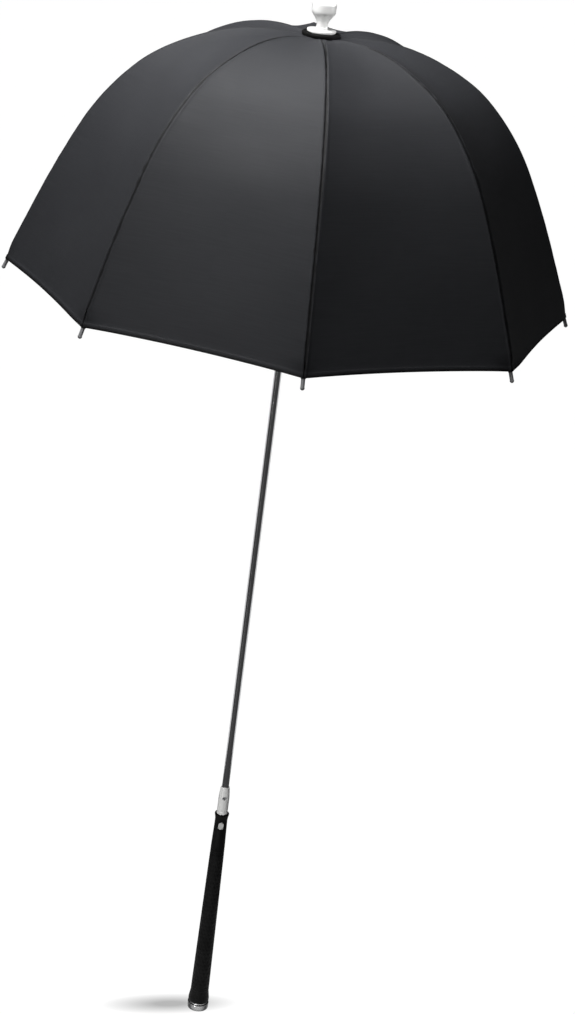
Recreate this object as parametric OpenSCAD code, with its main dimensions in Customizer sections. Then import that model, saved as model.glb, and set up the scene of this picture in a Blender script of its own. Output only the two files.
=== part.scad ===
// Golf umbrella: a deep eight-rib dome on a slim metal shaft with a golf-club style grip.
// Millimetres. +Z runs up the shaft and the origin is the middle of the butt's underside.

/* [Shaft and crown] */
// Height of the crown, where the canopy meets the shaft
crown_z = 1175; // [1160:1:1200]
// Diameter of the shaft tube
shaft_d = 8; // [7.6:0.1:8.2]
// Wall of the shaft tube
shaft_wall = 0.8; // [0.6:0.1:1]
// Height of the finial's top above the crown
finial_h = 34; // [30:1:40]
// Diameter of the finial's head
finial_d = 25; // [22:0.5:28]

/* [Canopy] */
// Radius at which the canopy starts, under the crown washer
crown_r = 12; // [11.5:0.1:12.5]
// Slope at which the canopy leaves the crown, in degrees above the horizontal
crown_rise = 11.5; // [8:0.5:14]
// Length of the round upper part of a rib
upper_len = 184; // [175:1:190]
// How far the upper part bends down
upper_turn = 54; // [50:0.5:56]
// Length of each of the two flatter bends below it
lower_len = 90; // [80:1:95]
// How far the first of them bends down
first_turn = 20; // [15:0.5:22]
// How far the second of them bends down
second_turn = 5; // [3:0.5:8]
// Length of the straight end of a rib, down to the hem
straight_len = 74; // [60:1:85]
// How far the hem arches up between two ribs
hem_arch = 3.5; // [0:0.5:12]
// Thickness of the canopy's solid
cloth_t = 0.8; // [0.6:0.1:1]

/* [Frame] */
// Diameter of a rib rod
rib_d = 3.2; // [2.8:0.1:3.2]
// Length of the rib tip beyond the hem
tip_len = 11; // [8:1:14]
// Diameter of a stretcher rod
stretcher_d = 2.4; // [2.2:0.1:2.4]
// Depth of the runner's pivots below the crown when the umbrella is open
runner_drop = 190; // [185:1:195]
// How far the runner slides down to shut the umbrella
runner_travel = 200.3; // [195:0.1:206]
// Length of the runner's sleeve
sleeve_len = 45; // [35:1:50]
// Diameter of the runner's sleeve
sleeve_d = 17; // [16:0.5:19]

/* [Grip] */
// Length of the grip with its end cap
grip_len = 267; // [250:1:280]
// Diameter of the end cap
cap_d = 25.4; // [24:0.1:27]
// Diameter of the grip at its butt
butt_d = 24.6; // [23:0.1:26]
// Diameter of the grip at its narrow end
neck_d = 16; // [15:0.1:17]
// Diameter of the collar above the grip
collar_d = 12.6; // [12:0.1:13]
// Length of the collar that shows above the grip
collar_len = 35; // [25:1:45]

/* [Hidden] */
rib_count = 8;
gore = 360 / rib_count;
function names(stem) = [for (k = [1 : rib_count]) str(stem, k)];

shaft_r = shaft_d / 2;
rib_r = rib_d / 2;
pin_r = 0.95;           // every pivot pin
eye_bore_r = 1;         // the hole that turns on it
knuckle_r = 2.4;        // round end of a rib or of its fork
gap = 0.3;              // between pieces that must not touch
$fn = 64;

// A place along a rib is [radius, height, slope]; the slope is in degrees below the horizontal.
bends = [
    [upper_len, upper_turn],
    [lower_len, first_turn],
    [lower_len, second_turn],
    [straight_len, 0]
];
rib_len = upper_len + 2 * lower_len + straight_len;
function bend_radius(bend) = bend[0] / bend[1] * 180 / PI;
function moved(p, len, turn) = turn == 0
    ? [p[0] + len * cos(p[2]), p[1] - len * sin(p[2]), p[2]]
    : let (r = len / turn * 180 / PI) [
        p[0] + r * (sin(p[2] + turn) - sin(p[2])),
        p[1] + r * (cos(p[2] + turn) - cos(p[2])),
        p[2] + turn
    ];
function walked(p, len, i = 0) = i == len(bends) - 1 || len <= bends[i][0]
    ? moved(p, len, bends[i][1] * len / bends[i][0])
    : walked(moved(p, bends[i][0], bends[i][1]), len - bends[i][0], i + 1);
function inside(p, depth) = [p[0] - depth * sin(p[2]), p[1] - depth * cos(p[2]), p[2]];
function cloth_at(len) = walked([crown_r, crown_z, -crown_rise], len);

// The stretchers stand beside the ribs, so that the two never meet while the frame folds.
stretcher_y = 3.9;
stretcher_eye_t = 1.8;
stretcher_eye_r = 1.9;

// The rods run under the cloth, deep enough that it clears the stretchers' outer eyes.
rib_depth = cloth_t + (stretcher_eye_r + gap) / cos(gore / 2)
    + (stretcher_y + stretcher_eye_t / 2) * tan(gore / 2);
rib_pivot = inside(cloth_at(0), rib_depth);
knee = inside(cloth_at(upper_len), rib_depth);
runner_pivot = [rib_pivot[0] - 0.75, crown_z - runner_drop];
stretcher_rise = atan2(knee[1] - runner_pivot[1], knee[0] - runner_pivot[0]);
stretcher_len = norm([knee[0] - runner_pivot[0], knee[1] - runner_pivot[1]]);

notch_r = 16;
notch_top = crown_z - 1.5;
notch_h = 11.5;
washer_r = 20;
washer_top = crown_z + 4;
flange_r = 15;
flange_t = 3;
shaft_foot = 12;
shaft_top = crown_z + 10;
collar_seat = 6;
rivet_z = grip_len + collar_len - 13;
rivet_r = 2;
rivet_head = 0.4;       // how far the rivet stands out of the collar
cap_h = 8;
cap_groove = 1.5;
badge_z = grip_len - 14;

runner_r = 15.5;
runner_h = 12;
runner_low = runner_pivot[1] - runner_h / 2 - sleeve_len;
catch_w = 2;            // width of a catch blade
catch_reach = 2;        // how far it stands out of the shaft
catch_h = 14;
open_catch_z = runner_low - gap - catch_h;
closed_catch_z = runner_low - runner_travel + 7;    // in the sleeve when it is shut

fork_back = 8;          // how far the fork grips back along the upper rod
fork_in = 3.4;          // where its slot ends
fork_w = 5;
tongue_t = 2.4;
tongue_r = 2.2;
tongue_len = 3.6;
ferrule_len = 5;
rod_gap = 0.5;          // between the rod ends inside a ferrule

module turned_to(k) {
    rotate([0, 0, (k - 1) * gore])
        children();
}

module at_place(p) {
    translate([p[0], 0, p[1]])
        rotate([0, p[2], 0])
            children();
}

// A cylinder along the local Y axis, from y to y + len.
module crosswise(r, y, len) {
    translate([0, y, 0])
        rotate([-90, 0, 0])
            cylinder(r = r, h = len);
}

// A rod that starts along X and bends down about its own centre. The stretches named first and
// last, in millimetres along the rod, are left unbuilt.
module bent_rod(radius, turn, first = 0, last = 0) {
    first_turn = first / radius * 180 / PI;
    last_turn = last / radius * 180 / PI;
    translate([0, 0, -radius])
        rotate([90, 0, 0])
            rotate([0, 0, 90 - turn + last_turn])
                rotate_extrude(angle = turn - first_turn - last_turn, $fn = 360)
                    translate([radius, 0])
                        circle(r = rib_r, $fn = 32);
}

// A ferrule around the local X axis that joins two stretches of rod end to end.
module ferrule() {
    translate([-ferrule_len / 2, 0, 0])
        rotate([0, 90, 0])
            cylinder(r = rib_r + 0.3, h = ferrule_len);
}

module shaft_tube() {
    window_h = catch_h + 2;
    color("silver")
        difference() {
            translate([0, 0, shaft_foot])
                cylinder(r = shaft_r, h = shaft_top - shaft_foot);
            translate([0, 0, shaft_foot - 1])
                cylinder(r = shaft_r - shaft_wall, h = shaft_top - shaft_foot + 2);
            for (z = [open_catch_z, closed_catch_z])
                translate([-catch_w / 2 - 0.2, 0, z - 1])
                    cube([catch_w + 0.4, shaft_r + 1, window_h]);
        }
}

module catch_blade(z) {
    sill = 0.8;
    color("dimgray")
        translate([catch_w / 2, 0, z])
            rotate([0, -90, 0])
                linear_extrude(catch_w)
                    polygon([
                        [0, 1.2],
                        [0, shaft_r + sill],
                        [catch_h - 2, shaft_r + catch_reach],
                        [catch_h, shaft_r + catch_reach],
                        [catch_h, 1.2]
                    ]);
}

module grip() {
    butt_r = butt_d / 2;
    neck_r = neck_d / 2;
    low = cap_h + cap_groove;
    color([0.06, 0.06, 0.06])
        difference() {
            rotate_extrude()
                polygon([
                    [shaft_r, low],
                    [butt_r - 0.8, low],
                    [butt_r, low + 1.5],
                    [butt_r, low + 4],
                    [butt_r - 1.4, low + 14],
                    [neck_r + 0.2, grip_len - 45],
                    [neck_r - 0.6, grip_len - 16],
                    [neck_r - 0.8, grip_len - 7],
                    [neck_r + 0.5, grip_len - 1],
                    [neck_r + 0.1, grip_len],
                    [collar_d / 2, grip_len],
                    [collar_d / 2, grip_len - collar_seat],
                    [shaft_r, grip_len - collar_seat]
                ]);
            // shallow bed of the oval badge
            badge_outline(0.2, neck_r - 1.6, 4);
        }
}

module badge_outline(grow, from_y, depth) {
    badge_w = 3;
    badge_h = 9;
    translate([0, -from_y, badge_z])
        rotate([90, 0, 0])
            linear_extrude(depth)
                for (side = [-1, 1])
                    translate([0, side * (badge_h / 2 - badge_w)])
                        circle(r = badge_w + grow);
    translate([-badge_w - grow, -from_y - depth, badge_z - badge_h / 2 + badge_w])
        cube([2 * (badge_w + grow), depth, badge_h - 2 * badge_w]);
}

module badge() {
    color("gainsboro")
        badge_outline(0, neck_d / 2 - 1.6, 1.6);
}

module end_cap() {
    cap_r = cap_d / 2;
    edge = 1;
    color([0.12, 0.12, 0.13])
        rotate_extrude()
            polygon([
                [0, 0],
                [cap_r - edge, 0],
                [cap_r, edge],
                [cap_r, cap_h - edge],
                [cap_r - edge, cap_h],
                [cap_r - 2 * edge, cap_h],
                [cap_r - 2 * edge, cap_h + cap_groove],
                [0, cap_h + cap_groove]
            ]);
}

module collar() {
    collar_r = collar_d / 2;
    top = grip_len + collar_len;
    color("white")
        difference() {
            rotate_extrude()
                polygon([
                    [shaft_r, grip_len - collar_seat],
                    [collar_r, grip_len - collar_seat],
                    [collar_r, top - 12],
                    [collar_r - 1, top - 2],
                    [collar_r - 1.6, top],
                    [shaft_r, top]
                ]);
            translate([0, 0, rivet_z])
                rotate([90, 0, 0])
                    cylinder(r = rivet_r, h = collar_d);
        }
}

module collar_pin() {
    color("dimgray")
        translate([0, -shaft_r, rivet_z])
            rotate([90, 0, 0])
                cylinder(r = rivet_r, h = collar_d / 2 - shaft_r + rivet_head);
}

module top_notch() {
    color([0.1, 0.1, 0.1])
        difference() {
            translate([0, 0, notch_top - notch_h])
                cylinder(r = notch_r, h = notch_h);
            translate([0, 0, notch_top - notch_h - 1])
                cylinder(r = shaft_r, h = notch_h + 2);
            for (k = [1 : rib_count])
                turned_to(k) {
                    translate([rib_pivot[0] - knuckle_r - 1, -rib_r - 0.2, notch_top - notch_h - 1])
                        cube([notch_r, rib_d + 0.4, notch_h + 2]);
                    at_place(rib_pivot)
                        crosswise(eye_bore_r, -rib_r - 1.4, rib_d + 2.8);
                }
        }
}

module notch_wire() {
    color("silver")
        for (k = [1 : rib_count])
            turned_to(k)
                at_place(rib_pivot)
                    crosswise(pin_r, -rib_r - 1.3, rib_d + 2.6);
}

module crown_washer() {
    // the underside follows the cloth, which rises from the shaft outwards
    lift = 0.8;
    function under(r) = crown_z + (r - crown_r) * tan(crown_rise) + lift;
    color([0.05, 0.05, 0.05])
        rotate_extrude()
            polygon([
                [shaft_r, under(shaft_r)],
                [washer_r, under(washer_r)],
                [washer_r, washer_top - 0.5],
                [washer_r - 1, washer_top],
                [shaft_r, washer_top]
            ]);
}

module finial_flange() {
    color("white")
        rotate_extrude()
            polygon([
                [shaft_r, washer_top],
                [flange_r, washer_top],
                [flange_r, washer_top + flange_t - 1],
                [flange_r - 1, washer_top + flange_t],
                [shaft_r, washer_top + flange_t]
            ]);
}

module finial() {
    low = washer_top + flange_t;
    top = crown_z + finial_h;
    head_r = finial_d / 2;
    neck_r = 6;
    edge = 2.5;
    color("white")
        difference() {
            rotate_extrude()
                union() {
                    polygon([
                        [0, low],
                        [neck_r + 1, low],
                        [neck_r, low + 2],
                        [neck_r - 0.3, low + 6],
                        [neck_r + 1.5, low + 10],
                        [head_r - 1, top - 11],
                        [head_r, top - 9],
                        [head_r, top - edge],
                        [0, top - edge]
                    ]);
                    translate([0, top - edge - 0.5])
                        square([head_r - edge, edge + 0.5]);
                    translate([head_r - edge, top - edge])
                        intersection() {
                            circle(r = edge);
                            square(edge);
                        }
                }
            translate([0, 0, low - 1])
                cylinder(r = shaft_r, h = shaft_top - low + 1);
        }
}

module runner() {
    keyway_d = catch_reach + 0.6;
    slot_low = runner_pivot[1] - runner_h / 2 - 1;
    color([0.1, 0.1, 0.1])
        difference() {
            union() {
                translate([0, 0, runner_low])
                    cylinder(d = sleeve_d, h = sleeve_len);
                translate([0, 0, runner_low])
                    cylinder(d = sleeve_d + 2, h = 4);
                translate([0, 0, runner_pivot[1] - runner_h / 2])
                    cylinder(r = runner_r, h = runner_h);
            }
            translate([0, 0, runner_low - 1])
                cylinder(r = shaft_r + 0.05, h = sleeve_len + runner_h + 2);
            translate([-catch_w / 2 - 0.4, 0, runner_low - 1])
                cube([catch_w + 0.8, shaft_r + keyway_d, sleeve_len + runner_h + 2]);
            for (k = [1 : rib_count])
                turned_to(k) {
                    translate([8.5, stretcher_y - stretcher_d / 2 - 0.2, slot_low])
                        cube([runner_r, stretcher_d + 0.4, runner_h + 2]);
                    at_place([runner_pivot[0], runner_pivot[1], 0])
                        crosswise(eye_bore_r, stretcher_y - 2.6, 5.2);
                }
        }
}

module runner_wire() {
    color("silver")
        for (k = [1 : rib_count])
            turned_to(k)
                at_place([runner_pivot[0], runner_pivot[1], 0])
                    crosswise(pin_r, stretcher_y - 2.5, 5);
}

module open_catch() {
    catch_blade(open_catch_z);
}

module closed_catch() {
    catch_blade(closed_catch_z);
}

module rib_upper(k) {
    rod_radius = bend_radius(bends[0]) - rib_depth;
    color("gray")
        turned_to(k) {
            at_place(rib_pivot)
                difference() {
                    union() {
                        bent_rod(rod_radius, upper_turn, last = fork_in + 1);
                        crosswise(knuckle_r, -rib_r, rib_d);
                    }
                    crosswise(eye_bore_r, -rib_d, 2 * rib_d);
                }
            at_place(knee) {
                difference() {
                    union() {
                        translate([-fork_back, -fork_w / 2, -2])
                            cube([fork_back, fork_w, 4]);
                        crosswise(knuckle_r, -fork_w / 2, fork_w);
                    }
                    translate([-fork_in, -tongue_t / 2 - 0.1, -4])
                        cube([fork_in + 4, tongue_t + 0.2, 8]);
                }
                crosswise(pin_r, -fork_w / 2, fork_w + 0.3);
            }
        }
}

module rib_lower(k) {
    first_radius = bend_radius(bends[1]) - rib_depth;
    second_radius = bend_radius(bends[2]) - rib_depth;
    color("gray")
        turned_to(k) {
            at_place(knee) {
                difference() {
                    union() {
                        crosswise(tongue_r, -tongue_t / 2, tongue_t);
                        translate([0, -tongue_t / 2, -1.5])
                            cube([tongue_len, tongue_t, 3]);
                    }
                    crosswise(eye_bore_r, -tongue_t, 2 * tongue_t);
                }
                bent_rod(first_radius, first_turn, tongue_len - 0.4, rod_gap);
            }
            at_place(inside(cloth_at(upper_len + lower_len), rib_depth)) {
                ferrule();
                bent_rod(second_radius, second_turn, rod_gap, rod_gap);
            }
            at_place(inside(cloth_at(upper_len + 2 * lower_len), rib_depth)) {
                ferrule();
                rotate([0, 90, 0])
                    straight_end();
            }
        }
}

// The straight stretch of a lower rod, with the sleeve and ball of its tip.
module straight_end() {
    sleeve_r = rib_r + 0.4;
    ball_r = rib_r + 0.6;
    ball_z = straight_len + tip_len - ball_r;
    rotate_extrude()
        union() {
            translate([0, rod_gap])
                square([rib_r, straight_len - rod_gap]);
            translate([0, straight_len - 4])
                square([sleeve_r, ball_z - straight_len + 4]);
            translate([0, ball_z])
                intersection() {
                    circle(r = ball_r);
                    translate([0, -ball_r])
                        square([ball_r, 2 * ball_r]);
                }
        }
}

module stretcher(k) {
    side = stretcher_y - stretcher_eye_t / 2;
    color("silver")
        turned_to(k)
            at_place([runner_pivot[0], runner_pivot[1], -stretcher_rise])
                difference() {
                    union() {
                        crosswise(stretcher_eye_r, side, stretcher_eye_t);
                        translate([1.5, stretcher_y, 0])
                            rotate([0, 90, 0])
                                cylinder(d = stretcher_d, h = stretcher_len - 3);
                        translate([stretcher_len, 0, 0]) {
                            crosswise(stretcher_eye_r, side, stretcher_eye_t);
                            crosswise(1.3, side, stretcher_eye_t + 0.5);
                        }
                    }
                    crosswise(eye_bore_r, 0, 2 * stretcher_y);
                }
}

// The cloth is flat between two ribs: side runs from -1 to 1, from one mid-gore to the next.
function leaf_point(p, side) =
    let (in = 1 - (1 - cos(gore)) / 2, out = sin(gore) / 2)
    [p[0] * (1 - abs(side) * (1 - in)), p[0] * side * out, p[1]];
function leaf_layer(from, to, depth, along, across, arch) = [
    for (i = [0 : along])
        for (j = [-across : across])
            let (
                side = j / across,
                reach = to - arch * (1 - pow(1 - abs(side), 2)),
                p = inside(cloth_at(from + (reach - from) * i / along), depth),
                trim = 1 - gap / p[0] / sin(gore)
            )
            leaf_point(p, side * trim)
];

// One canopy leaf: a thin shell that is folded along its rib.
module leaf(k, from, to, along, across, arch) {
    row = 2 * across + 1;
    count = row * (along + 1);
    points = concat(
        leaf_layer(from, to, 0, along, across, arch),
        leaf_layer(from, to, cloth_t, along, across, arch)
    );
    last = along * row;
    faces = concat(
        [for (i = [0 : along - 1]) for (j = [0 : row - 2]) let (a = i * row + j)
            each [[a, a + 1, a + row], [a + 1, a + row + 1, a + row]]],
        [for (i = [0 : along - 1]) for (j = [0 : row - 2]) let (a = count + i * row + j)
            each [[a, a + row, a + 1], [a + 1, a + row, a + row + 1]]],
        [for (j = [0 : row - 2])
            each [[j, j + count, j + 1], [j + 1, j + count, j + 1 + count]]],
        [for (j = [last : last + row - 2])
            each [[j, j + 1, j + count], [j + 1, j + 1 + count, j + count]]],
        [for (i = [0 : along - 1]) let (a = i * row)
            each [[a, a + row, a + count], [a + row, a + row + count, a + count]]],
        [for (i = [0 : along - 1]) let (a = i * row + row - 1)
            each [[a, a + count, a + row], [a + row, a + count, a + row + count]]]
    );
    color([0.09, 0.09, 0.1])
        turned_to(k)
            polyhedron(points = points, faces = faces, convexity = 4);
}

module canopy_upper(k) {
    leaf(k, 0, upper_len - gap, 12, 1, 0);
}

module canopy_lower(k) {
    leaf(k, upper_len + gap, rib_len, 10, 3, hem_arch);
}

shaft_tube();
grip();
end_cap();
badge();
collar();
collar_pin();
top_notch();
notch_wire();
crown_washer();
finial_flange();
finial();
runner();
runner_wire();
open_catch();
closed_catch();
for (k = [1 : rib_count]) {
    rib_upper(k);
    rib_lower(k);
    stretcher(k);
    canopy_upper(k);
    canopy_lower(k);
}
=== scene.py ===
"""The looks of a golf umbrella: a sewn dome of charcoal nylon on eight ribs, a bright slim shaft,
a white tee-shaped finial and a rubber golf grip. Sizes are in metres, in the CAD model's frame."""

import math

import bpy
import numpy as np
from mathutils import Matrix, Vector


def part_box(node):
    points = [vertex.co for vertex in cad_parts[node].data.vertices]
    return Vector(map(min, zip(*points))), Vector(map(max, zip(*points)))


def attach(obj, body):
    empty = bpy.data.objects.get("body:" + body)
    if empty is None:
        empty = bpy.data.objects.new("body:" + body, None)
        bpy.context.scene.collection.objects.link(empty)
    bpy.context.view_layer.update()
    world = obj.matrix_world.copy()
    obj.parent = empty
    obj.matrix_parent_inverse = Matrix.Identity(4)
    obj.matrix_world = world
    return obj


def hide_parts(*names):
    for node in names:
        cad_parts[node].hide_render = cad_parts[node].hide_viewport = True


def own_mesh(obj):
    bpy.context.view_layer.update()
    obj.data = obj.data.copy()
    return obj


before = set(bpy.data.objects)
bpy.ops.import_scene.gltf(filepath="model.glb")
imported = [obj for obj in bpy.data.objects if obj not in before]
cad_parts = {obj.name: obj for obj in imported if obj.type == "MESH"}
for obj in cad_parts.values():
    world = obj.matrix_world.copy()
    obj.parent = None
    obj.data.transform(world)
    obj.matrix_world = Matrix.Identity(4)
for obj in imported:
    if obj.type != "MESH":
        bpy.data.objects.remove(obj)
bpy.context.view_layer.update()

MM = 0.001
RIBS = 8
GORE = math.tau / RIBS

# The canopy's line along a rib, as in the CAD model: its stretches' lengths and how far each
# bends down.
WASHER_ABOVE_CROWN = 4 * MM
CROWN_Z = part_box("crown_washer")[1][2] - WASHER_ABOVE_CROWN
CROWN_R = 12 * MM
CROWN_RISE = math.radians(11.5)
BENDS = (
    (184 * MM, math.radians(54)),
    (90 * MM, math.radians(20)),
    (90 * MM, math.radians(5)),
    (100 * MM, 0.0),
)
KNEE = 184 * MM
HEM = 438 * MM
HEM_ARCH = 2.8 * MM
SHAFT_R = 4 * MM
ROD_DEPTH = 5.17 * MM  # from the cloth down to the middle of the lower rod

# How the cloth leaves that line.
LIE_DOWN = 2.5 * MM  # onto the ribs, between the crown and the knee
DRAWN_IN = 2.6 * MM  # at the corners of the hem
DIP = 7 * MM  # between two ribs
SEAM_REACH = 3.5 * MM  # how far from the rib the cloth still lies on it
ROLL = 0.5 * MM
ROLL_AT = 2.3 * MM
GROOVE = 1.0 * MM
TUCK = 0.03 * MM  # a tier's end lies this deep under the one above
TUCKED = 0.34 * MM  # and its hidden part this much deeper

# The cloth and its sewing.
CLOTH = 0.3 * MM
THIN = 0.02 * MM
TAPER = 6 * MM  # over which a tier's covered end thins
FOLD = 5 * MM  # the turned hem
FOLD_STEP = 0.35 * MM
STITCH = 3.2 * MM
STITCH_SHARE = 0.62
THREAD = 0.28 * MM  # half a thread's width
WEAVE = 0.7 * MM


# ---------------------------------------------------------------- the canopy's surface


def rib_line(s):
    """Radius, height and slope (below the horizontal) at distance s along the cloth over a rib."""
    s = np.asarray(s, float)
    radius = np.full(s.shape, CROWN_R)
    height = np.full(s.shape, CROWN_Z)
    slope = np.full(s.shape, -CROWN_RISE)
    start = 0.0
    for length, bend in BENDS:
        run = np.clip(s - start, 0, length)
        if bend:
            bow = length / bend
            turned = slope + run / bow
            radius = radius + bow * (np.sin(turned) - np.sin(slope))
            height = height + bow * (np.cos(turned) - np.cos(slope))
            slope = turned
        else:
            radius = radius + run * np.cos(slope)
            height = height - run * np.sin(slope)
        start += length
    return radius, height, slope


def hem_at(side):
    """Where the hem lies: it arches up between two ribs."""
    return HEM - HEM_ARCH * (1 - (1 - np.abs(side)) ** 2)


def half_width(s):
    """Distance across, from the rib's plane to the middle of the gore."""
    return rib_line(s)[0] * math.sin(GORE) / 2


WRINKLES = np.random.default_rng(11)
PUCKER = WRINKLES.uniform(0, math.tau, (RIBS, 4))
CREASE = [
    [
        (
            WRINKLES.uniform(0.1, 0.28) * MM,
            WRINKLES.uniform(90, 190) * MM,
            WRINKLES.uniform(-1.6, 1.6),
            WRINKLES.uniform(0, math.tau),
        )
        for _ in range(5)
    ]
    for _ in range(RIBS)
]


def creases(gore, s, across):
    """Soft tension folds of one gore. across runs from 0 at its first rib to 1 at its second."""
    lift = np.zeros_like(s)
    for height, wave, slant, phase in CREASE[gore % RIBS]:
        lift += height * np.sin(math.tau * (s / wave + slant * across) + phase)
    return lift * np.sin(math.pi * across) ** 1.5 * np.clip((s - 30 * MM) / (80 * MM), 0, 1)


def surface(k, s, side):
    """Points of the cloth around rib k. side runs from -1 to 1, between the middles of its gores."""
    s, side = np.broadcast_arrays(np.asarray(s, float), np.asarray(side, float))
    radius, height, slope = rib_line(s)
    near = np.abs(side)
    width = radius * math.sin(GORE) / 2
    away = near * width
    along = radius * (1 - near * (1 - math.cos(GORE)) / 2)
    half = GORE / 2
    normal = np.stack(
        [
            np.sin(slope) * math.cos(half),
            np.sign(side) * np.sin(slope) * math.sin(half),
            np.cos(slope),
        ],
        -1,
    )

    # the cloth lies down on the ribs between the crown and the knee
    from_crown = np.clip(s / (20 * MM), 0, 1)
    to_knee = np.clip((KNEE - s) / (70 * MM), 0, 1)
    lift = -LIE_DOWN * from_crown**0.5 * to_knee**2 * (3 - 2 * to_knee)

    # its corners are drawn to the tips
    corner = np.exp(-(((HEM - s) / (12 * MM)) ** 2)) * np.exp(-((away / (14 * MM)) ** 2))
    lift -= DRAWN_IN * corner

    # it lies on the rib for the seam's width and dips beyond it, most where it curves most
    dip = DIP * np.sin(math.pi * np.clip(s / (HEM + 20 * MM), 0, 1)) ** 0.8
    free = np.clip((away - SEAM_REACH) / (width - SEAM_REACH), 0, 1)
    lift -= dip * (1 - (1 - free) ** 2)
    gore = np.where(side > 0, k, k - 1)
    across = np.where(side > 0, near / 2, 1 - near / 2)
    for g in (k, k - 1):
        lift += np.where(gore == g, creases(g, s, across), 0)

    # small puckers that the stitching pulls beside each seam
    phase = PUCKER[k % RIBS]
    fine = np.sin(math.tau * s / (9.5 * MM) + phase[0] + 0.9 * np.sin(s / (23 * MM) + phase[1]))
    broad = np.sin(math.tau * s / (27 * MM) + phase[2])
    pull = np.sin(s / (61 * MM) + phase[3]) * 0.4 + 0.6
    reach = away / (5 * MM) * np.exp(1 - away / (5 * MM))
    lift += reach * (0.05 * MM * fine + 0.09 * MM * broad) * pull * (1 - near) ** 2

    # the felled seam: a fine groove where the gores meet, between two low rolls
    rolls = np.exp(-(((away - ROLL_AT) / (1.1 * MM)) ** 2))
    groove = np.exp(-((away / (1.0 * MM)) ** 2))
    lift += (ROLL * rolls - GROOVE * groove) * np.clip(s / (25 * MM), 0, 1)

    # the hem is folded over, and its stitches draw it in a little
    to_hem = hem_at(side) - s
    draw = np.sin(math.tau * across * width * 2 / (12 * MM) + phase[1]) * (1 - (1 - near) ** 6)
    lift += 0.3 * MM / (1 + np.exp((to_hem - FOLD) / FOLD_STEP))
    lift += 0.12 * MM * draw * np.exp(-np.abs(to_hem) / (7 * MM)) * (1 - near) ** 2

    flat = np.stack([along, side * width, height], -1)
    placed = flat + normal * lift[..., None]
    angle = (k - 1) * GORE
    turn = np.array(
        [
            [math.cos(angle), -math.sin(angle), 0],
            [math.sin(angle), math.cos(angle), 0],
            [0, 0, 1],
        ]
    )
    return placed @ turn.T


def surface_normals(k, s, side):
    step = 0.4 * MM
    small = np.minimum(step / half_width(s), 0.02)
    down = surface(k, s + step, side) - surface(k, s - step, side)
    over = surface(k, s, side + small) - surface(k, s, side - small)
    normal = np.cross(down, over)
    return normal / np.linalg.norm(normal, axis=-1, keepdims=True)


# the columns of a leaf, closer together beside its rib
COLUMNS = range(-20, 21)
SIDES = np.array([math.copysign((abs(j) / COLUMNS[-1]) ** 1.55, j) for j in COLUMNS])


def rows_of(start, end):
    return np.linspace(start, end, max(2, round((end - start) / (3 * MM))) + 1)


def new_piece(name, verts, faces, material, smooth=True):
    mesh = bpy.data.meshes.new(name)
    mesh.from_pydata(verts, [], faces)
    mesh.polygons.foreach_set("use_smooth", [smooth] * len(faces))
    mesh.materials.append(material)
    piece = bpy.data.objects.new(name, mesh)
    bpy.context.collection.objects.link(piece)
    return piece


def leaf(name, k, rows, sunk, thin_end, material):
    """One tier of a canopy leaf as a thin closed shell. rows gives s for each row and column; sunk
    is how deep each row lies under the canopy's surface, where the next tier up covers it."""
    count, wide = rows.shape
    side = np.broadcast_to(SIDES, rows.shape)
    outer = surface(k, rows, side)
    normals = surface_normals(k, rows, side)
    outer = outer - normals * sunk[..., None]
    thick = np.full(rows.shape, CLOTH)
    to_hem = hem_at(side) - rows
    thick += 0.5 * MM / (1 + np.exp((to_hem - FOLD) / FOLD_STEP))
    if thin_end:
        left = rows[-1:] - rows
        thick = np.minimum(thick, THIN + (CLOTH - THIN) * left / TAPER)
    inner = outer - normals * thick[..., None]
    points = np.concatenate([outer.reshape(-1, 3), inner.reshape(-1, 3)])
    size = count * wide
    i, j = np.meshgrid(np.arange(count - 1), np.arange(wide - 1), indexing="ij")
    a = (i * wide + j).ravel()
    top = np.stack([a, a + wide, a + wide + 1, a + 1], 1)
    bottom = top[:, ::-1] + size
    rim = np.concatenate(
        [
            np.arange(wide),
            np.arange(1, count) * wide + wide - 1,
            (count - 1) * wide + np.arange(wide - 2, -1, -1),
            np.arange(count - 2, 0, -1) * wide,
        ]
    )
    after = np.roll(rim, -1)
    edge = np.stack([rim, after, after + size, rim + size], 1)
    faces = np.concatenate([top, bottom, edge])
    piece = new_piece(name, points.tolist(), faces.tolist(), material)
    mesh = piece.data
    both = np.concatenate([normals.reshape(-1, 3), -normals.reshape(-1, 3)])
    mesh.normals_split_custom_set_from_vertices(both.tolist())
    across = (side * half_width(rows)).ravel()
    cloth_uv = np.stack([np.tile(across, 2), np.tile(to_hem.ravel(), 2)], 1)
    layer = mesh.uv_layers.new(name="cloth")
    corner = np.zeros(len(mesh.loops), int)
    mesh.loops.foreach_get("vertex_index", corner)
    layer.data.foreach_set("uv", cloth_uv[corner].astype(np.float32).ravel())
    mesh.validate()
    quads = outer[1:, 1:] - outer[:-1, :-1], outer[1:, :-1] - outer[:-1, 1:]
    area = float(np.linalg.norm(np.cross(*quads), axis=-1).sum() / 2)
    return piece, area


def skirt_rows(start):
    """Evenly spaced rows down to the hem, with closer ones where the hem is folded over."""
    near_hem = np.array([6.0, 5.4, 4.8, 3.0, 1.0, 0.2, 0.0]) * MM
    reach = hem_at(SIDES)
    share = np.linspace(0, 1, 88)[:-1, None]
    return np.concatenate([start + (reach - near_hem[0] - start) * share, reach - near_hem[:, None]])


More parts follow.
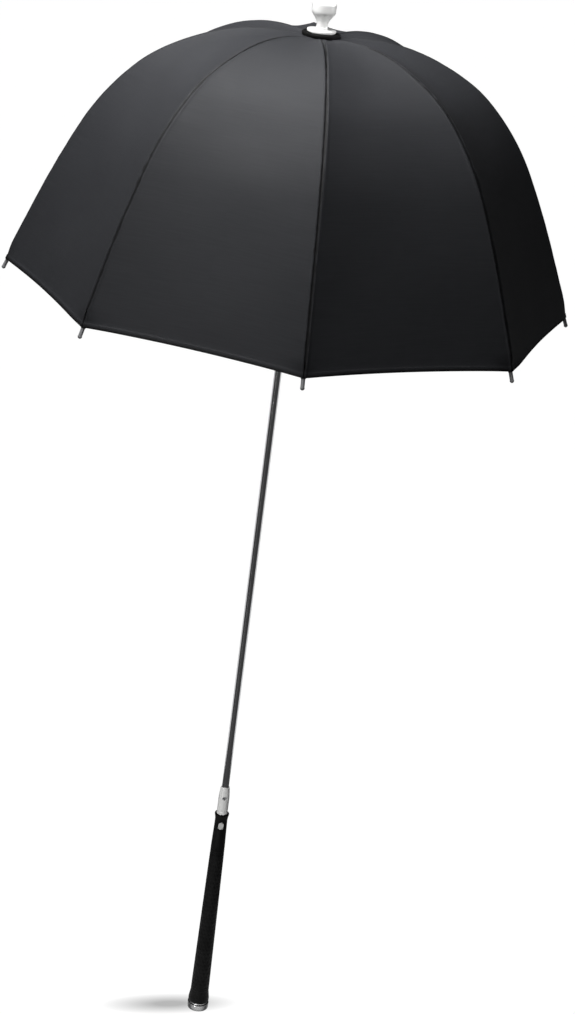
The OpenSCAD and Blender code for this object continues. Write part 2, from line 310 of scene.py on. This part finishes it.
def canopy(material):
    """Eight leaves, one to a rib, each in five tiers. A tier tucks under the one above it, so that
    they part without a gap as the frame folds."""
    tiers = (
        # name, first s, where the tier above ends, last s (mm), body, share of width kept when shut
        ("crown", 0, 0, 30, "rib_upper", 0.95),
        ("shoulder", 20, 30, 72, "rib_upper", 0.8),
        ("upper", 60, 72, 126, "rib_upper", 0.6),
        ("middle", 112, 126, 196, "rib_upper", 0.42),
        ("skirt", 180, 196, None, "rib_lower", 0.26),
    )
    for k in range(1, RIBS + 1):
        for tier, start, covered, end, body, keep in tiers:
            start = start * MM
            if end is None:
                rows = skirt_rows(start)
            else:
                line = rows_of(start, end * MM)
                rows = np.broadcast_to(line[:, None], (len(line), len(SIDES)))
            under = covered * MM - rows
            sunk = TUCK * np.clip(1 + under / (3 * MM), 0, 1)
            sunk = (sunk + TUCKED * np.clip(under / TAPER, 0, 1)) * (covered > 0)
            piece, area = leaf(f"cloth_{tier}_{k}", k, rows, sunk, end is not None, material)
            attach(piece, f"{body}_{k}")
            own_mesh(piece)
            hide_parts("canopy_lower_%d" % k if tier == "skirt" else "canopy_upper_%d" % k)


# ---------------------------------------------------------------- materials


class Nodes:
    """A short way to build one material's nodes."""

    def __init__(self, name, color, metallic=0.0, roughness=0.5, **sockets):
        self.material = bpy.data.materials.new(name)
        self.material.use_nodes = True
        self.tree = self.material.node_tree
        self.shader = self.tree.nodes["Principled BSDF"]
        self.shader.inputs["Base Color"].default_value = (*color, 1)
        self.shader.inputs["Metallic"].default_value = metallic
        self.shader.inputs["Roughness"].default_value = roughness
        for socket, value in sockets.items():
            self.shader.inputs[socket.replace("_", " ")].default_value = value
        self.height = None

    def add(self, kind, **settings):
        node = self.tree.nodes.new("ShaderNode" + kind)
        for key, value in settings.items():
            if key in node.inputs:
                node.inputs[key].default_value = value
            else:
                setattr(node, key, value)
        return node

    def link(self, source, target):
        self.tree.links.new(source, target)

    def math(self, operation, first, second=None):
        node = self.add("Math", operation=operation)
        for value, socket in ((first, node.inputs[0]), (second, node.inputs[1])):
            if isinstance(value, (int, float)):
                socket.default_value = value
            elif value is not None:
                self.link(value, socket)
        return node.outputs[0]

    def noise(self, scale, detail=4.0, stretch=None, source="Object"):
        place = self.add("TexCoord").outputs[source]
        if stretch:
            mapping = self.add("Mapping")
            mapping.inputs["Scale"].default_value = stretch
            self.link(place, mapping.inputs["Vector"])
            place = mapping.outputs[0]
        node = self.add("TexNoise")
        node.inputs["Scale"].default_value = scale
        node.inputs["Detail"].default_value = detail
        self.link(place, node.inputs["Vector"])
        return node.outputs["Fac"]

    def spread(self, value, low, high, first=0.35, last=0.65):
        """value from first to last, laid out from low to high."""
        node = self.add("MapRange")
        self.link(value, node.inputs["Value"])
        names = ("From Min", "From Max", "To Min", "To Max")
        for socket, number in zip(names, (first, last, low, high)):
            node.inputs[socket].default_value = number
        return node.outputs[0]

    def tint(self, factor, low, high):
        node = self.add("Mix", data_type="RGBA")
        self.link(factor, node.inputs["Factor"])
        node.inputs["A"].default_value = (*low, 1)
        node.inputs["B"].default_value = (*high, 1)
        self.link(node.outputs["Result"], self.shader.inputs["Base Color"])

    def rough(self, factor, low, high):
        self.link(self.spread(factor, low, high), self.shader.inputs["Roughness"])

    def bump(self, height, distance, strength=1.0):
        node = self.add("Bump")
        node.inputs["Distance"].default_value = distance
        node.inputs["Strength"].default_value = strength
        self.link(height, node.inputs["Height"])
        if self.height is not None:
            self.link(self.height, node.inputs["Normal"])
        self.height = node.outputs[0]
        self.link(self.height, self.shader.inputs["Normal"])


def cloth_material():
    """Tightly woven nylon. The cloth's own coordinates run across from the rib and up from the hem."""
    n = Nodes("canopy_nylon", (0.026, 0.027, 0.03), roughness=0.6)
    n.shader.inputs["Specular IOR Level"].default_value = 0.2
    parts = n.add("SeparateXYZ")
    n.link(n.add("UVMap", uv_map="cloth").outputs[0], parts.inputs[0])
    across, up = parts.outputs[0], parts.outputs[1]
    away = n.math("ABSOLUTE", across)

    # two rows of stitches: beside each seam, and along the hem
    def stitch_row(along, off, place):
        repeat = n.math("FRACT", n.math("MULTIPLY", along, 1 / STITCH))
        dash = n.math("LESS_THAN", repeat, STITCH_SHARE)
        row = n.math("LESS_THAN", n.math("ABSOLUTE", n.math("SUBTRACT", off, place)), THREAD)
        return n.math("MULTIPLY", dash, row)

    stitches = n.math("MAXIMUM", stitch_row(up, away, 2.6 * MM), stitch_row(across, up, 4.2 * MM))

    weave_across = n.math("SINE", n.math("MULTIPLY", across, math.tau / WEAVE))
    weave_up = n.math("SINE", n.math("MULTIPLY", up, math.tau / WEAVE))
    weave = n.math("MULTIPLY", weave_across, weave_up)
    # picks of slightly different thread, as fine streaks that run with the hem
    streaks = n.noise(1, detail=4, stretch=(28, 700, 1), source="UV")
    # little light reaches into the seam's groove or under the turned hem
    uneven = n.math("ADD", away, n.spread(n.noise(90, detail=2), -0.0004, 0.0004))
    near_crown = n.spread(up, 0, 1, 0.37, 0.42)
    groove = n.math("MAXIMUM", n.spread(uneven, 0, 1, 0.0009, 0.0021), near_crown)
    turned_in = n.spread(up, 0, 1, 0.001, 0.0035)
    lit = n.math("MULTIPLY", groove, turned_in)
    shade = n.math("MULTIPLY", lit, n.spread(streaks, 0.88, 1.0))
    n.tint(shade, (0.003, 0.003, 0.0035), (0.0275, 0.0285, 0.032))
    n.rough(n.noise(14, detail=3), 0.58, 0.64)
    n.bump(streaks, 0.00005, 0.3)
    n.bump(weave, 0.00006, 0.5)
    n.bump(stitches, 0.0003, 0.7)
    return n.material


def metal(name, color, roughness, grain=0.0):
    """Drawn metal, with its streaks along the shaft."""
    n = Nodes(name, color, metallic=1.0, roughness=roughness)
    stretch = (400, 400, 4)
    n.rough(n.noise(1, detail=6, stretch=stretch), roughness * 0.75, roughness * 1.3)
    n.tint(n.spread(n.noise(60, detail=4), 0, 1), tuple(c * 0.93 for c in color), color)
    if grain:
        n.bump(n.noise(1, detail=3, stretch=stretch), grain, 0.3)
    return n.material


def plastic(name, color, roughness, grain=0.00004, coat=0.0, gleam=0.5):
    n = Nodes(name, color, roughness=roughness)
    n.shader.inputs["Specular IOR Level"].default_value = gleam
    n.shader.inputs["Coat Weight"].default_value = coat
    n.shader.inputs["Coat Roughness"].default_value = 0.12
    n.rough(n.noise(70, detail=4), roughness * 0.85, roughness * 1.2)
    n.tint(n.spread(n.noise(25, detail=4), 0, 1), tuple(c * 0.9 for c in color), color)
    n.bump(n.noise(900, detail=3), grain, 0.6)
    return n.material


def rubber_material():
    n = Nodes("grip_rubber", (0.003, 0.003, 0.003), roughness=0.66)
    n.shader.inputs["Specular IOR Level"].default_value = 0.1
    n.rough(n.noise(55, detail=5), 0.58, 0.76)
    n.tint(n.spread(n.noise(30, detail=5), 0, 1), (0.0015, 0.0015, 0.0015), (0.004, 0.004, 0.004))
    n.bump(n.noise(1600, detail=3), 0.00012, 0.5)
    return n.material


def cap_material():
    """Smoky gloss with a painted reflection: pale where it faces the eye and dark at its edges."""
    n = Nodes("cap_plastic", (0.3, 0.3, 0.31), metallic=0.7, roughness=0.2)
    # painted reflection: the colour runs from pale where the cap faces the eye to dark at its edges
    facing = n.add("LayerWeight", Blend=0.5).outputs["Facing"]
    n.tint(n.spread(facing, 0, 1, 0.04, 0.42), (0.55, 0.55, 0.55), (0.012, 0.012, 0.014))
    n.rough(n.noise(70, detail=4), 0.16, 0.24)
    return n.material


def repaint(nodes, material):
    for name in nodes:
        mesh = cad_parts[name].data
        mesh.materials.clear()
        mesh.materials.append(material)
        mesh.polygons.foreach_set("material_index", [0] * len(mesh.polygons))


# ---------------------------------------------------------------- turned pieces


def rounded(corners):
    """A turned outline from (radius, height, fillet) corners, with each fillet as an arc."""
    points = []
    count = len(corners)
    for i, (r, z, fillet) in enumerate(corners):
        here = Vector((r, z))
        if not fillet or i in (0, count - 1):
            points.append(here)
            continue
        back = Vector(corners[i - 1][:2]) - here
        ahead = Vector(corners[i + 1][:2]) - here
        reach = min(fillet, back.length * 0.45, ahead.length * 0.45)
        first, last = here + back.normalized() * reach, here + ahead.normalized() * reach
        for step in range(7):
            t = step / 6
            points.append(first.lerp(here, t).lerp(here.lerp(last, t), t))
    return points


def turned(name, outline, body, node, material, slot, relief=None, segments=96):
    """A closed outline turned about the shaft: its last point joins its first. relief(r, z, angle)
    is how far the surface sinks there."""
    outline = [Vector(p) for p in outline]
    verts, faces = [], []
    for r, z in outline:
        for i in range(segments):
            angle = math.tau * i / segments
            sink = relief(r, z, angle) if relief else 0
            verts.append(((r - sink) * math.cos(angle), (r - sink) * math.sin(angle), z))
    for row in range(len(outline)):
        below, above = row * segments, (row + 1) % len(outline) * segments
        for i in range(segments):
            j = (i + 1) % segments
            faces.append((below + i, below + j, above + j, above + i))
    piece = new_piece(name, verts, faces, material)
    piece.data.validate()
    sharp = piece.modifiers.new("edges", "EDGE_SPLIT")
    sharp.split_angle = math.radians(50)
    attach(piece, body)
    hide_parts(node)


def reach_of(node):
    """Outer radius, foot and top of a CAD piece that is centred on the shaft."""
    low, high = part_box(node)
    return (high[0] - low[0]) / 2, low[2], high[2]


def finial(white):
    head, foot, top = reach_of("finial")
    inner = SHAFT_R + 0.2 * MM
    outline = rounded(
        [
            (inner, foot, 0),
            (7 * MM, foot, 0.5 * MM),
            (6 * MM, foot + 2 * MM, 1.5 * MM),
            (5.7 * MM, foot + 6 * MM, 3 * MM),
            (7.5 * MM, foot + 10 * MM, 3 * MM),
            (head - 0.6 * MM, top - 11 * MM, 2 * MM),
            (head, top - 9 * MM, 1 * MM),
            (head, top, 2.6 * MM),
            (head - 5 * MM, top, 1 * MM),
            (head - 6 * MM, top - 0.8 * MM, 1 * MM),
            (0.3 * MM, top - 1.6 * MM, 0),
            (0.3 * MM, top - 6 * MM, 0),
            (inner, top - 9 * MM, 0),
        ]
    )
    turned("tee_finial", outline, "shaft", "finial", white, "white_plastic")


def flange(white):
    rim, foot, top = reach_of("finial_flange")
    outline = rounded(
        [
            (SHAFT_R, foot, 0),
            (rim, foot, 0.5 * MM),
            (rim, top - 0.6 * MM, 0.7 * MM),
            (rim - 2.5 * MM, top, 1 * MM),
            (SHAFT_R, top, 0),
        ]
    )
    turned("flange_dome", outline, "shaft", "finial_flange", white, "white_plastic")


def washer(black):
    rim, foot, top = reach_of("crown_washer")
    outline = rounded(
        [
            (SHAFT_R, foot, 0),
            (rim - 1 * MM, foot + 0.4 * MM, 0.6 * MM),
            (rim, foot + 1.4 * MM, 0.8 * MM),
            (rim, top - 0.9 * MM, 1 * MM),
            (rim - 1.6 * MM, top, 1 * MM),
            (rim - 3.4 * MM, top, 0.6 * MM),
            (rim - 4 * MM, top - 0.8 * MM, 0.5 * MM),
            (SHAFT_R, top - 0.8 * MM, 0),
        ]
    )
    turned("crown_ring", outline, "shaft", "crown_washer", black, "black_plastic")


def collar(white):
    rim, foot, top = reach_of("collar")
    outline = rounded(
        [
            (SHAFT_R, foot, 0),
            (rim, foot, 0.3 * MM),
            (rim, top - 33 * MM, 0.5 * MM),
            (rim - 0.5 * MM, top - 32.4 * MM, 0.3 * MM),
            (rim - 0.5 * MM, top - 31.4 * MM, 0.3 * MM),
            (rim, top - 30.8 * MM, 0.5 * MM),
            (rim, top - 12 * MM, 4 * MM),
            (rim - 1 * MM, top - 2 * MM, 1 * MM),
            (rim - 1.7 * MM, top, 0.5 * MM),
            (SHAFT_R, top, 0),
        ]
    )
    turned("ferrule_collar", outline, "shaft", "collar", white, "white_plastic")


def end_cap(gloss_and_painted_reflection):
    rim, foot, top = reach_of("end_cap")
    cap = top - 1.5 * MM
    outline = rounded(
        [
            (0.3 * MM, foot + 0.8 * MM, 0),
            (rim - 6 * MM, foot + 0.8 * MM, 0.4 * MM),
            (rim - 5.4 * MM, foot, 0.4 * MM),
            (rim - 0.3 * MM, foot, 1.2 * MM),
            (rim, foot + 2 * MM, 1 * MM),
            (rim, cap - 0.3 * MM, 1.6 * MM),
            (rim - 1.8 * MM, cap, 0.5 * MM),
            (rim - 2.0 * MM, top, 0),
            (0.3 * MM, top, 0),
        ]
    )
    turned("butt_cap", outline, "shaft", "end_cap", gloss_and_painted_reflection, "cap_plastic")


def grip(rubber):
    """The golf grip, with moulded rings at both ends and rows of small diamonds between them."""
    butt, foot, top = reach_of("grip")
    first, last = foot + 14 * MM, top - 45 * MM
    thick, thin = butt - 1.4 * MM, 8.2 * MM
    seat = 6.3 * MM
    start = rounded(
        [
            (SHAFT_R, foot, 0),
            (butt - 0.6 * MM, foot, 0.8 * MM),
            (butt, foot + 1.6 * MM, 1 * MM),
            (butt, foot + 4.5 * MM, 3 * MM),
            (thick, first, 0),
        ]
    )
    steps = 270
    middle = [
        Vector((thick + (thin - thick) * i / steps, first + (last - first) * i / steps))
        for i in range(1, steps)
    ]
    end = rounded(
        [
            (thin, last, 0),
            (7.4 * MM, top - 16 * MM, 9 * MM),
            (7.2 * MM, top - 7 * MM, 3 * MM),
            (8.5 * MM, top - 1 * MM, 1.2 * MM),
            (8.1 * MM, top, 0.5 * MM),
            (seat, top, 0.3 * MM),
            (seat, top - 6 * MM, 0),
            (SHAFT_R, top - 6 * MM, 0),
        ]
    )
    rings = [first + d * MM for d in (2, 5, 8)] + [last - d * MM for d in (2, 5, 8)]
    pitch = 5.4 * MM
    around = 14

    def relief(r, z, angle):
        if r < seat + 0.5 * MM or not first < z < last:
            return 0
        sink = sum(0.45 * MM * math.exp(-(((z - ring) / (0.55 * MM)) ** 2)) for ring in rings)
        if first + 13 * MM < z < last - 13 * MM:
            row = (z - first) / pitch
            turn = angle / math.tau * around + (math.floor(row) % 2) / 2
            diamond = abs(turn % 1 - 0.5) * 2 + abs(row % 1 - 0.5) * 2
            sink += 0.35 * MM * min(1, max(0, (0.8 - diamond) / 0.25))
        return sink

    outline = start + middle + end
    turned("golf_grip", outline, "shaft", "grip", rubber, "black_rubber", relief, segments=168)


# ---------------------------------------------------------------- small sewn pieces


def tip_ties(material):
    """A sewn loop at each corner of the hem that holds the cloth to the rib's tip."""
    radius, height, slope = (float(v) for v in rib_line(HEM - 3.5 * MM))
    down = Vector((math.cos(slope), 0, -math.sin(slope)))
    out = Vector((math.sin(slope), 0, math.cos(slope)))
    wide, tall, length = 2.4 * MM, 2.3 * MM, 6 * MM
    around = 32
    wall = 0.5 * MM
    centre = Vector((radius, 0, height)) - out * ROD_DEPTH
    for k in range(1, RIBS + 1):
        turn = Matrix.Rotation((k - 1) * GORE, 3, "Z")
        verts = []
        for shrink, offset in ((0, 0), (0, 1), (wall, 1), (wall, 0)):
            for i in range(around):
                angle = math.tau * i / around
                spot = centre + down * (length * (offset - 0.4))
                spot = spot + Vector((0, 1, 0)) * ((wide - shrink) * math.cos(angle))
                spot = spot + out * ((tall - shrink) * math.sin(angle))
                verts.append(tuple(turn @ spot))
        faces = []
        for ring in range(4):
            here, there = ring * around, (ring + 1) % 4 * around
            for i in range(around):
                j = (i + 1) % around
                faces.append((here + i, here + j, there + j, there + i))
        piece = new_piece(f"tip_tie_{k}", verts, faces, material)
        bevel = piece.modifiers.new("soft edges", "BEVEL")
        bevel.width = 0.15 * MM
        bevel.segments = 2
        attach(piece, f"rib_lower_{k}")


# ---------------------------------------------------------------- camera, light and floor


def camera():
    """The photograph's view: from a little above the hem, with the shaft leaning in the frame."""
    azimuth, elevation = math.radians(-94.68), math.radians(21.396)
    yaw, roll = math.radians(0.656), math.radians(7.245)
    distance, aim = 2.544, Vector((0, 0, 0.657))
    back = Vector(
        (
            math.cos(elevation) * math.cos(azimuth),
            math.cos(elevation) * math.sin(azimuth),
            math.sin(elevation),
        )
    )
    right = (-back).cross(Vector((0, 0, 1))).normalized()
    up = right.cross(-back)
    ahead = -back * math.cos(yaw) + right * math.sin(yaw)
    side = right * math.cos(yaw) + back * math.sin(yaw)
    across = side * math.cos(roll) + up * math.sin(roll)
    above = up * math.cos(roll) - side * math.sin(roll)
    data = bpy.data.cameras.new("camera")
    data.lens = 81.76
    data.sensor_width = 36
    data.clip_end = 100
    eye = bpy.data.objects.new("camera", data)
    bpy.context.collection.objects.link(eye)
    turn = Matrix((across, above, -ahead)).transposed()
    eye.matrix_world = Matrix.Translation(aim + back * distance) @ turn.to_4x4()
    bpy.context.scene.camera = eye
    return right, back


def lamp(name, place, aim, size, power, spread=180):
    data = bpy.data.lights.new(name, "AREA")
    data.shape = "RECTANGLE"
    data.size, data.size_y = size
    data.energy = power
    data.spread = math.radians(spread)
    light = bpy.data.objects.new(name, data)
    bpy.context.collection.objects.link(light)
    light.location = place
    light.rotation_euler = (Vector(aim) - Vector(place)).to_track_quat("-Z", "Y").to_euler()
    light.visible_camera = False


def backdrop():
    """White wherever the camera looks past the floor, and dim to everything else."""
    world = bpy.data.worlds.new("studio")
    world.use_nodes = True
    tree = world.node_tree
    dim = tree.nodes["Background"]
    dim.inputs["Color"].default_value = (1, 1, 1, 1)
    dim.inputs["Strength"].default_value = 0.05
    white = tree.nodes.new("ShaderNodeBackground")
    white.inputs["Color"].default_value = (1, 1, 1, 1)
    white.inputs["Strength"].default_value = 1.0
    path = tree.nodes.new("ShaderNodeLightPath")
    mix = tree.nodes.new("ShaderNodeMixShader")
    tree.links.new(path.outputs["Is Camera Ray"], mix.inputs[0])
    tree.links.new(dim.outputs[0], mix.inputs[1])
    tree.links.new(white.outputs[0], mix.inputs[2])
    tree.links.new(mix.outputs[0], tree.nodes["World Output"].inputs["Surface"])
    bpy.context.scene.world = world


def sheet_of_light(name, corners, material):
    """A flat stage piece."""
    piece = new_piece(name, corners, [tuple(range(len(corners)))], material, smooth=False)
    piece.visible_diffuse = False
    return piece


def glowing(name):
    n = Nodes(name, (0.9, 0.9, 0.9), roughness=0.9)
    n.shader.inputs["Emission Color"].default_value = (1, 1, 1, 1)
    n.shader.inputs["Emission Strength"].default_value = 1.0
    return n


def studio(right, back):
    level = Vector((back.x, back.y, 0)).normalized()
    top = Vector((0, 0, 1))
    crown = Vector((0, 0, CROWN_Z))
    dome = Vector((0, 0, 1.05))
    lamp("overhead", crown - right * 0.27 + level * 0.13 + top * 0.55, dome, (0.6, 0.6), 12.5)
    lamp("front", dome - right * 0.7 + level * 2.4 + top * 0.9, dome, (1.2, 1.2), 9.5)
    spot = level * 1.9 - right * 0.9 + top * 0.3
    lamp("low front", spot, (0, 0, 0.28), (0.5, 0.3), 0.8, spread=30)
    spot = crown + right * 0.6 + top * 0.1
    lamp("finial side", spot, crown + top * 0.03, (0.1, 0.1), 0.05, spread=24)

    # white walls beside and behind the shaft, below the canopy, for the polished metal to mirror
    for side in (-1, 1):
        spot = right * (side * 0.75) - level * 0.45 + top * 0.25
        lamp("wall", spot, (0, 0, 0.5), (0.9, 0.7), 1.5)

    backdrop()

    n = glowing("floor_white")
    # the faint shadow where the butt stands
    mapping = n.add("Mapping", vector_type="TEXTURE")
    mapping.inputs["Location"].default_value = (-0.034, 0.0, 0)
    mapping.inputs["Rotation"].default_value = (0, 0, math.radians(10))
    mapping.inputs["Scale"].default_value = (0.085, 0.022, 1)
    n.link(n.add("TexCoord").outputs["Object"], mapping.inputs["Vector"])
    gradient = n.add("TexGradient", gradient_type="SPHERICAL")
    n.link(mapping.outputs[0], gradient.inputs["Vector"])
    n.link(n.spread(gradient.outputs["Fac"], 1.0, 0.45, 0, 0.8), n.shader.inputs["Emission Strength"])
    n.shader.inputs["Base Color"].default_value = (0.02, 0.02, 0.02, 1)
    far = 60
    corners = [(-far, -far, 0), (far, -far, 0), (far, far, 0), (-far, far, 0)]
    floor = sheet_of_light("floor", corners, n.material)
    floor.visible_glossy = False

    # a round of floor under the butt that shows only in reflections
    angles = [i * math.tau / 24 for i in range(24)]
    ring = [(0.25 * math.cos(angle), 0.25 * math.sin(angle), 0.0002) for angle in angles]
    near = sheet_of_light("near_floor", ring, glowing("near_floor_white").material)
    near.visible_camera = False


# ---------------------------------------------------------------- the umbrella

bpy.context.scene.view_settings.view_transform = "Standard"
right, back = camera()

cloth = cloth_material()
steel = metal("bright_steel", (0.76, 0.76, 0.78), 0.14)
spring = metal("spring_steel", (0.58, 0.58, 0.6), 0.34, grain=0.00003)
rod = plastic("rib_rod", (0.3, 0.3, 0.31), 0.38, grain=0.00003, coat=0.2)
white = plastic("white_plastic", (0.86, 0.86, 0.85), 0.3, coat=0.25)
black = plastic("black_plastic", (0.003, 0.003, 0.003), 0.75, gleam=0.12)
gloss_and_painted_reflection = cap_material()
inlay = plastic("badge_inlay", (0.62, 0.62, 0.61), 0.3, coat=0.4)
rubber = rubber_material()

repaint(["shaft_tube"], steel)
repaint(["notch_wire", "runner_wire", "open_catch", "closed_catch", "collar_pin"], spring)
repaint(["top_notch", "runner"], black)
repaint(["badge"], inlay)
repaint([f"{stem}_{k}" for stem in ("rib_upper", "rib_lower") for k in range(1, RIBS + 1)], rod)
repaint([f"stretcher_{k}" for k in range(1, RIBS + 1)], spring)

canopy(cloth)
tip_ties(cloth)
finial(white)
flange(white)
washer(black)
collar(white)
grip(rubber)
end_cap(gloss_and_painted_reflection)
studio(right, back)
